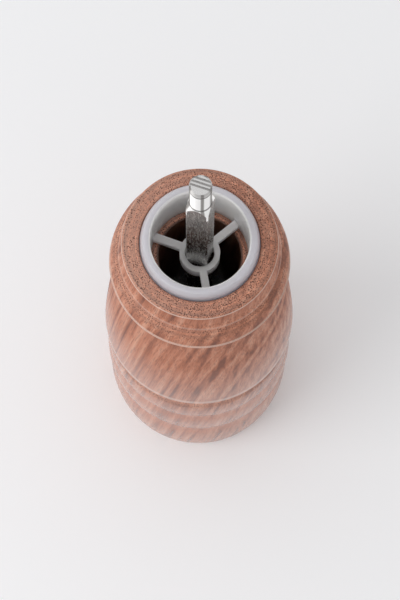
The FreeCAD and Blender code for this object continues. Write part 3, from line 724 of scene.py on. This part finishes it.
# Dark bands by direction round the spigot are a painted reflection of the room's darker parts.
for middle, half in PAINTED_REFLECTION_BANDS:
    off = add(tree, "Math", {0: turn}, {1: math.radians(middle)}, operation="SUBTRACT").outputs[0]
    off = add(tree, "Math", {0: off}, operation="ABSOLUTE").outputs[0]
    reflection_band = add(tree, "MapRange", {"Value": off}, {
        "From Min": math.radians(half * BAND_FADE[0]), "From Max": math.radians(half * BAND_FADE[1]),
        "To Min": PAINTED_DARK_SHARE, "To Max": 0.0}).outputs[0]
    coloured = add(tree, "Mix", {0: reflection_band, 6: coloured}, {7: linear(PAINTED_REFLECTION_GREY)}, data_type="RGBA").outputs[2]
# Two dark lines at the shoulder and below the lead are painted shadow.
for level in SHADOW_LINES:
    off = add(tree, "Math", {0: place["Z"]}, {1: level}, operation="SUBTRACT").outputs[0]
    off = add(tree, "Math", {0: off}, operation="ABSOLUTE").outputs[0]
    shadow_line = add(tree, "MapRange", {"Value": off}, {
        "From Min": SHADOW_LINE_REACH[0], "From Max": SHADOW_LINE_REACH[1], "To Min": PAINTED_DARK_SHARE, "To Max": 0.0}).outputs[0]
    coloured = add(tree, "Mix", {0: shadow_line, 6: coloured}, {7: linear(SHADOW_LINE_GREY)}, data_type="RGBA").outputs[2]
tree.links.new(coloured, shader.inputs["Base Color"])
rings = add(tree, "Tangent", direction_type="RADIAL", axis="Z").outputs[0]
tree.links.new(rings, shader.inputs["Tangent"])

round_bar = lathe([(0, SHAFT_LOW), (STUD_R, SHAFT_LOW), (STUD_R, STUD_GROOVE[0]),
                   (STUD_R - GROOVE_DEPTH, STUD_GROOVE[0]), (STUD_R - GROOVE_DEPTH, STUD_GROOVE[1]),
                   (STUD_R, STUD_GROOVE[1]), (STUD_R, STUD_TOP), (SHAFT_R, STUD_TOP),
                   (SHAFT_R, SHAFT_GROOVE[0]), (SHAFT_R - GROOVE_DEPTH, SHAFT_GROOVE[0]),
                   (SHAFT_R - GROOVE_DEPTH, SHAFT_GROOVE[1]), (SHAFT_R, SHAFT_GROOVE[1]),
                   (SHAFT_R, HIGHLIT_CORNER_LEVEL), (SHAFT_R, SHOULDER - TAPER), (SPIGOT_R, SHOULDER),
                   (SPIGOT_R, SHAFT_TOP - SPIGOT_CHAMFER), (SPIGOT_R - SPIGOT_CHAMFER, SHAFT_TOP),
                   (0, SHAFT_TOP)], steps=96)
length = SHAFT_TOP - SHAFT_LOW
square_bar = bar((SQUARE, SQUARE, length + 2 * CUT_PAST), (0, 0, SHAFT_LOW + length / 2))
shape = combined(rough_cut(round_bar), rough_cut(square_bar), "INTERSECT")
for mark in SAW_MARKS:
    shape = combined(rough_cut(shape), rough_cut(bar(SAW_CUT, (0, mark, SHAFT_TOP))), "DIFFERENCE")
bmesh.ops.rotate(shape, cent=(0, 0, 0), matrix=Matrix.Rotation(SHAFT_TURN, 3, "Z"), verts=shape.verts)
for face in shape.faces:
    middle = face.calc_center_median() / MM
    # Corners above their level take the bright turned steel, a painted highlight.
    corner = middle.xy.length > CORNER_OUT and middle.z > HIGHLIT_CORNER_LEVEL
    turned = corner or middle.z > SHOULDER - TAPER
    face.material_index = int(turned and face.normal.z < SAWN_FACING)
square_shaft = finished("square_shaft", shape, drawn)
square_shaft.data.materials.append(bright)
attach(square_shaft, "drive")
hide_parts("drive_shaft")

# Clip washer and shaft clip
# A plated washer on the bush's flange, and above it an open clip of spring steel in the shaft's
# groove, which together stop the shaft dropping. Both keep their frame shapes.
dress(zinc, "clip_washer")
dress(tempered, "shaft_clip")

# Spring seat
# A plated washer under the boss for the spring to push against. It keeps its frame shape.
dress(zinc, "spring_seat")

# Burr spring
# A coil of round spring wire with closed ends ground flat, squeezed between its seat and the rotor.
# In the mill it shortens as the knob draws the rotor up; here it is built at one length.
SPRING_LEVELS = (29.5, 40.2)
SPRING_R = 6.3
WIRE_R = 0.5
OPEN_TURNS = 4
CLOSED_TURNS = 1
GROUND_OFF = 0.35
TURN_STEPS = 60
WIRE_STEPS = 16

length = SPRING_LEVELS[1] - SPRING_LEVELS[0]
closed_rise = 2 * WIRE_R
open_rise = (length - 2 * (WIRE_R - GROUND_OFF) - 2 * CLOSED_TURNS * closed_rise) / OPEN_TURNS
shape = bmesh.new()
bmesh.ops.create_circle(shape, segments=WIRE_STEPS, radius=WIRE_R * MM)
bmesh.ops.rotate(shape, cent=(0, 0, 0), matrix=Matrix.Rotation(math.pi / 2, 3, "X"), verts=shape.verts)
start = Vector((SPRING_R, 0, SPRING_LEVELS[0] + WIRE_R - GROUND_OFF))
bmesh.ops.translate(shape, vec=start * MM, verts=shape.verts)
section = shape.verts[:] + shape.edges[:]
for turns, rise in ((CLOSED_TURNS, closed_rise), (OPEN_TURNS, open_rise), (CLOSED_TURNS, closed_rise)):
    section = bmesh.ops.spin(shape, geom=section, axis=(0, 0, 1), cent=(0, 0, 0), angle=2 * math.pi * turns,
                             steps=turns * TURN_STEPS, dvec=(0, 0, rise / TURN_STEPS * MM))["geom_last"]
bmesh.ops.holes_fill(shape, edges=[edge for edge in shape.edges if edge.is_boundary], sides=0)
bmesh.ops.recalc_face_normals(shape, faces=shape.faces)
for level, outward in zip(SPRING_LEVELS, (-1, 1)):
    bmesh.ops.bisect_plane(shape, geom=shape.verts[:] + shape.edges[:] + shape.faces[:], dist=MERGE,
                           plane_co=(0, 0, level * MM), plane_no=(0, 0, outward), clear_outer=True)
    bmesh.ops.holes_fill(shape, edges=[edge for edge in shape.edges if edge.is_boundary], sides=0)
bmesh.ops.recalc_face_normals(shape, faces=shape.faces)
wire_spring = finished("wire_spring", shape, tempered)
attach(wire_spring, "drive")
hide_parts("burr_spring")
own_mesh(wire_spring)

# Rotor carrier and burr
# A flanged acetal sleeve that slides on the shaft's square, and keyed on it the toothed inner burr
# of white ceramic. Both keep their frame shapes.
dress(acetal, "rotor_carrier")
dress(ceramic, "rotor_burr")

# Rotor washer
# A plated washer between the carrier and the knob. It keeps its frame shape.
dress(zinc, "rotor_washer")

# Grind knob
# A scalloped finger knob moulded in black plastic round its threaded insert. Turning it draws the
# rotor up and makes the grind finer.
KNOB_LEVELS = (3.0, 10.2)
KNOB_R = 8.5
KNOB_BORE = 4.05
KNOB_ROUND = 0.8
SCALLOPS = 12
SCALLOP_R = 1.4
SCALLOP_STEPS = 24

# Moulded black plastic has the mould's spark-eroded grain, which breaks up its sheen. The grain is
# drawn coarser than real, so that it shows.
KNOB_BLACK = "#1D1D1F"
SPARK_GRAIN = 0.22
SPARK_DEPTH = 0.02

black, tree, shader, spot = begin("moulded black plastic", {"Base Color": linear(KNOB_BLACK), "IOR": 1.5})
grit = add(tree, "TexNoise", {"Vector": spot}, {"Scale": 1 / SPARK_GRAIN, "Detail": 1.0}).outputs["Fac"]
dulled = add(tree, "MapRange", {"Value": grit}, {"To Min": 0.28, "To Max": 0.46}).outputs[0]
tree.links.new(dulled, shader.inputs["Roughness"])
dents = add(tree, "Bump", {"Height": grit}, {"Strength": 0.25, "Distance": SPARK_DEPTH * MM}).outputs[0]
tree.links.new(dents, shader.inputs["Normal"])

low, high = KNOB_LEVELS
flat_r = KNOB_R - KNOB_ROUND
corner_rise = KNOB_ROUND * (1 - math.sqrt(0.5))
shape = lathe([(KNOB_BORE, low)] + bow((flat_r, low), (KNOB_R, low + KNOB_ROUND), corner_rise, steps=5)
              + bow((KNOB_R, high - KNOB_ROUND), (flat_r, high), corner_rise, steps=5) + [(KNOB_BORE, high)],
              steps=SCALLOPS * SCALLOP_STEPS)
scallop_out = KNOB_R + SCALLOP_R / 2
for vert in shape.verts:
    turn = math.atan2(vert.co.y, vert.co.x)
    off = abs((turn * SCALLOPS / math.tau + 0.5) % 1 - 0.5) * math.tau / SCALLOPS
    inside = SCALLOP_R ** 2 - (scallop_out * math.sin(off)) ** 2
    if inside > 0 and vert.co.xy.length > (KNOB_BORE + flat_r) / 2 * MM:
        cut = max(KNOB_R - scallop_out * math.cos(off) + math.sqrt(inside), 0)
        vert.co.xy *= 1 - cut * MM / vert.co.xy.length
finger_knob = finished("finger_knob", shape, black)
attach(finger_knob, "knob")
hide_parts("grind_knob")

# Knob insert and stud clip
# A brass insert moulded into the knob for the shaft's stud, and an open clip of spring steel that
# keeps the knob from running off. Both keep their frame shapes.
dress(brass, "knob_insert")
dress(tempered, "stud_clip")

# Table, light and camera
# A plain pale table, a broad soft lamp on the left in a room that is dimmer on the right, and the
# camera at the photograph's steep angle, with its slight lean.
TABLE_WHITE = "#FCFDFF"
TABLE_HALF = 3000.0
ROOM_WHITE = "#FFFFFF"
SHOWN_WHITE = "#F8F8FA"
ROOM_LIGHT = (0.9, 0.52)
WINDOW_PLACE = Vector((-900.0, -350.0, 800.0))
WINDOW_SIZE = 900.0
WINDOW_WATTS = 4.6
# The focal length is in pixels of the photograph, whose height fills the sensor.
FOCAL = 1643
PHOTO_HEIGHT = 600
SENSOR = 36.0
NEAREST = 10.0
DISTANCE = 500.0
AIM = 84.3
ASIDE = 0.24
RISE = math.radians(74.94)
LEAN = math.radians(0.8)

table_top = begin("matt white table", {"Base Color": linear(TABLE_WHITE), "Roughness": 0.7})[0]
shape = bmesh.new()
bmesh.ops.create_grid(shape, x_segments=2, y_segments=2, size=TABLE_HALF * MM)
table = finished("table", shape, table_top)

# The camera, and whatever shines, sees a plain pale room instead of the one that lights the mill.
world = bpy.data.worlds.new("even room")
bpy.context.scene.world = world
world.use_nodes = True
tree = world.node_tree
rays = add(tree, "LightPath").outputs
direct = add(tree, "Math", {0: rays["Is Camera Ray"], 1: rays["Is Glossy Ray"]},
             operation="MAXIMUM").outputs[0]
seen = add(tree, "Math", {0: direct, 1: rays["Is Transmission Ray"]}, operation="MAXIMUM").outputs[0]
aside = add(tree, "SeparateXYZ", {"Vector": add(tree, "TexCoord").outputs["Generated"]}).outputs["X"]
falling = add(tree, "MapRange", {"Value": aside}, {
    "From Min": -1.0, "To Min": ROOM_LIGHT[0], "To Max": ROOM_LIGHT[1]}).outputs[0]
room = tree.nodes["Background"]
room.inputs["Color"].default_value = linear(ROOM_WHITE)
tree.links.new(falling, room.inputs["Strength"])
shown = add(tree, "Background", values={"Color": linear(SHOWN_WHITE), "Strength": 1.0})
both = add(tree, "MixShader", {0: seen, 1: room.outputs[0], 2: shown.outputs[0]})
tree.links.new(both.outputs[0], tree.nodes["World Output"].inputs["Surface"])

lamp = bpy.data.lights.new("left window", "AREA")
lamp.shape = "DISK"
lamp.size = WINDOW_SIZE * MM
lamp.energy = WINDOW_WATTS
window = bpy.data.objects.new("left window", lamp)
window.location = WINDOW_PLACE * MM
window.rotation_euler = (-WINDOW_PLACE).to_track_quat("-Z", "Y").to_euler()
bpy.context.scene.collection.objects.link(window)

lens = bpy.data.cameras.new("camera")
lens.sensor_width = SENSOR
lens.lens = FOCAL * SENSOR / PHOTO_HEIGHT
lens.clip_start = NEAREST * MM
camera = bpy.data.objects.new("camera", lens)
back = Vector((0, -math.cos(RISE), math.sin(RISE)))
level_view = back.to_track_quat("Z", "Y").to_matrix()
camera.location = (Vector((ASIDE, 0, AIM)) + back * DISTANCE) * MM
camera.rotation_euler = (level_view @ Matrix.Rotation(LEAN, 3, "Z")).to_euler()
bpy.context.scene.collection.objects.link(camera)
bpy.context.scene.camera = camera
bpy.context.scene.view_settings.view_transform = "Standard"
